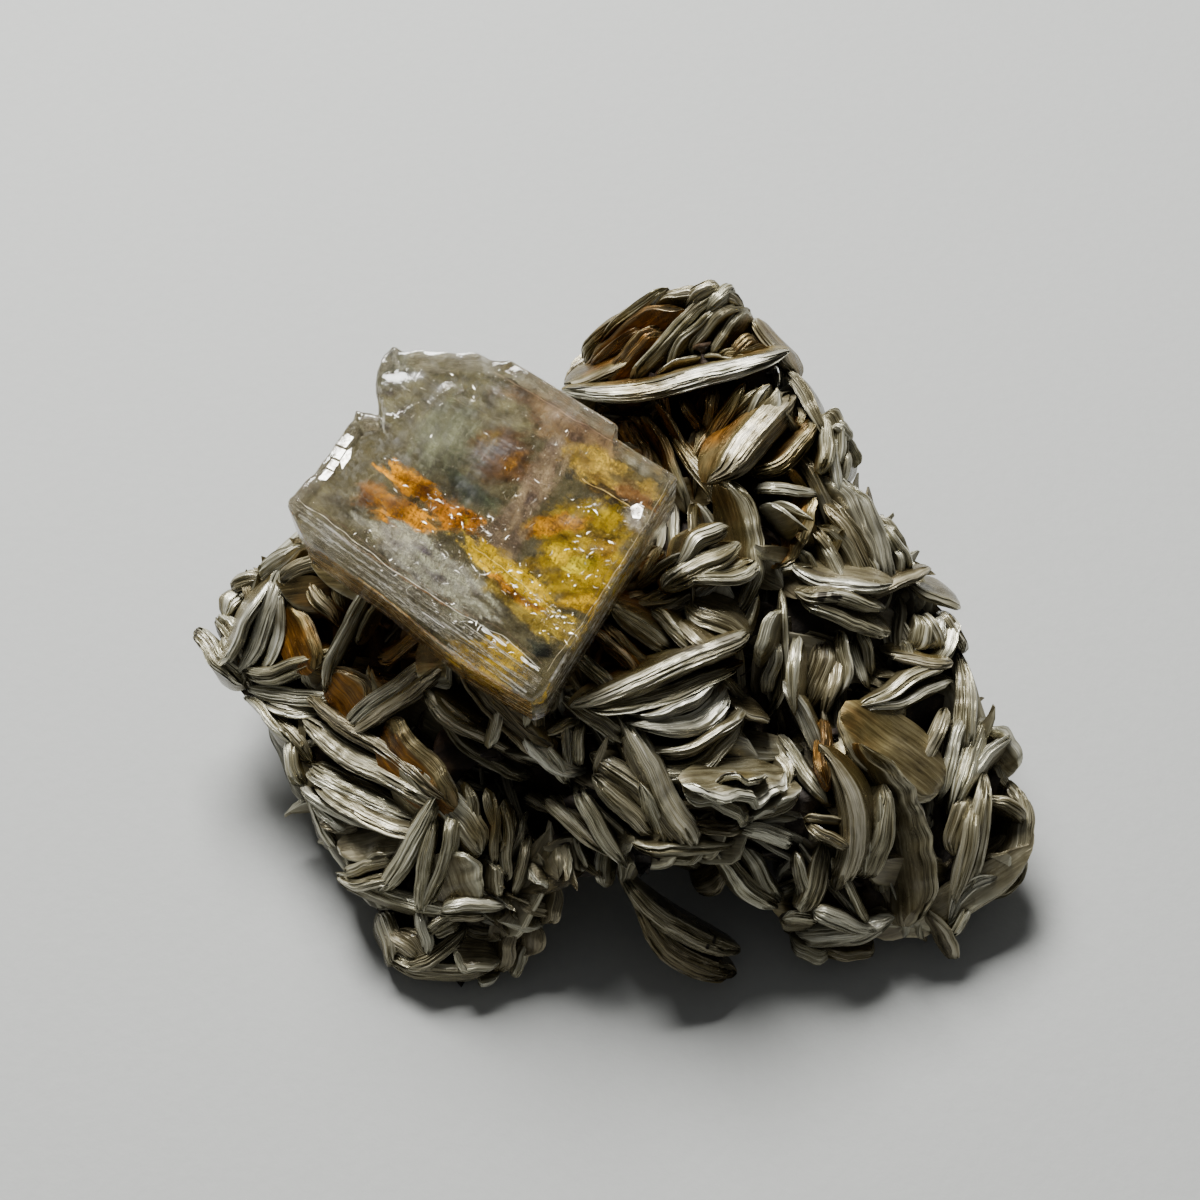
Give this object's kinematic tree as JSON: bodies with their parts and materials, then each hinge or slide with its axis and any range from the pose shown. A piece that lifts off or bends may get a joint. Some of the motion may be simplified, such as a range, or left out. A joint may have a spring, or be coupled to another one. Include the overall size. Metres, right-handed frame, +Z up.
{
  "type": "mineral specimen",
  "caption": "Clear tabular beryl crystal seated on a craggy cluster of stacked silvery-green mica books, standing on a flat base.",
  "frame": {"origin": "centre of the specimen's footprint, on the surface that it rests on", "axes": "+Z up; +X to the right along the specimen's longest side; -Y towards the viewer who faces the crystal's broad face"},
  "size_m": [0.0675, 0.0533, 0.0343],
  "materials": {
    "clear_beryl": "polished",
    "mica_mass": "satin",
    "mica_book": "satin"
  },
  "bodies": {
    "root": {"beryl_crystal": "clear_beryl", "muscovite_core": "mica_mass", "book_crest": "mica_book", "book_horn_left": "mica_book", "book_horn_top": "mica_book", "book_ridge_front": "mica_book", "book_ridge_behind": "mica_book", "book_side_upper": "mica_book", "book_upright": "mica_book", "book_fan": "mica_book", "book_under_fan": "mica_book", "book_lens": "mica_book", "book_crescent": "mica_book", "book_bright_plate": "mica_book", "book_twin_upper": "mica_book", "book_twin_lower": "mica_book", "book_amber_plate": "mica_book", "book_long_curve": "mica_book", "book_right_step": "mica_book", "book_right_fan": "mica_book", "book_right_edge": "mica_book", "book_right_low": "mica_book", "book_front_pillar": "mica_book", "book_dark_pillar": "mica_book", "book_left_long": "mica_book", "book_left_under": "mica_book", "book_left_plate": "mica_book", "book_left_upright": "mica_book", "book_shoulder_fan": "mica_book", "book_shoulder_bar": "mica_book", "book_centre_fan": "mica_book", "book_centre_slant": "mica_book", "book_lower_slant": "mica_book", "book_hanging": "mica_book", "book_foot_long": "mica_book", "book_foot_left": "mica_book", "book_back_crown": "mica_book", "book_back_left": "mica_book", "book_back_middle": "mica_book", "book_back_right": "mica_book", "book_back_low": "mica_book", "book_back_heel": "mica_book", "book_left_back": "mica_book", "book_left_heel": "mica_book", "book_right_back": "mica_book", "book_right_heel": "mica_book", "book_left_side": "mica_book"}
  },
  "joints": []
}
